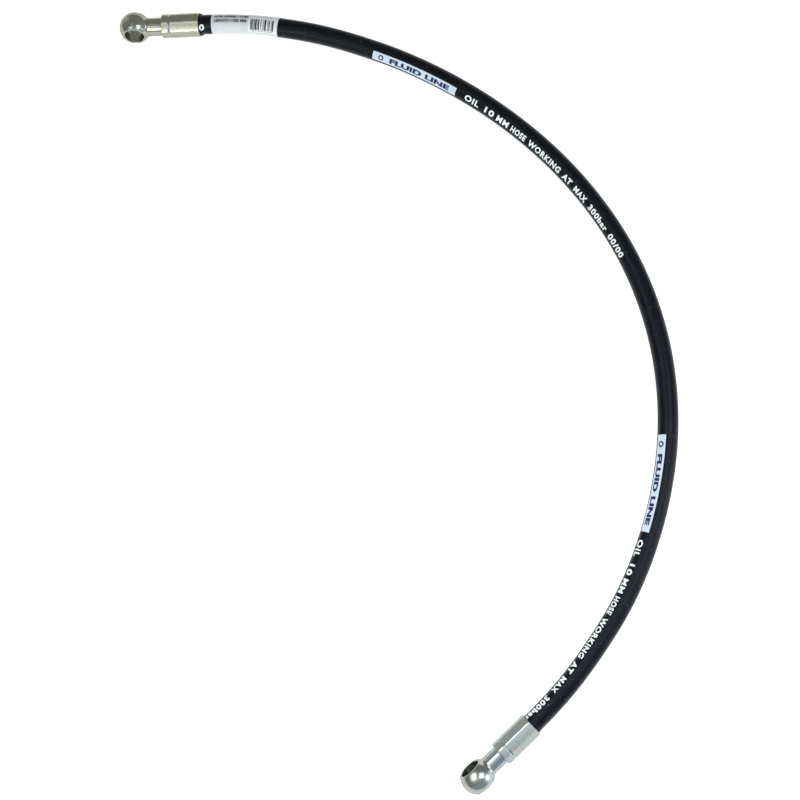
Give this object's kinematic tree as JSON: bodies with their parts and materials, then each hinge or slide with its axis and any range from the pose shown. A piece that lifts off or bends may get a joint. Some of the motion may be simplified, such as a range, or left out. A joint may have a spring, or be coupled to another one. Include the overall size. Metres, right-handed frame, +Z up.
{
  "type": "hydraulic hose assembly",
  "caption": "Flexible wire-braided rubber hose lying in an open C, with a crimped ball-shaped banjo eye fitting on each end.",
  "frame": {"origin": "middle of the bottom of the object's box, on the surface that the hose lies on", "axes": "+Z up from that surface; +Y along the longer side of the open C, from the eye at end B towards the eye at end A; +X towards the outside of the bend"},
  "size_m": [0.5153, 0.7238, 0.0297],
  "materials": {
    "cover_rubber": "satin",
    "tube_rubber": "matte",
    "braid_wire": "satin",
    "insert_zinc": "gloss",
    "ferrule_zinc": "satin",
    "wrap_film": "satin",
    "strip_film": "satin"
  },
  "bodies": {
    "root": {"inner_tube": "tube_rubber", "inner_wire_braid": "braid_wire", "rubber_interlayer": "tube_rubber", "outer_wire_braid": "braid_wire", "outer_cover": "cover_rubber", "banjo_insert_a": "insert_zinc", "banjo_insert_b": "insert_zinc", "crimp_ferrule_a": "ferrule_zinc", "crimp_ferrule_b": "ferrule_zinc", "wrap_label": "wrap_film", "strip_label_1": "strip_film", "strip_label_2": "strip_film"}
  },
  "joints": []
}
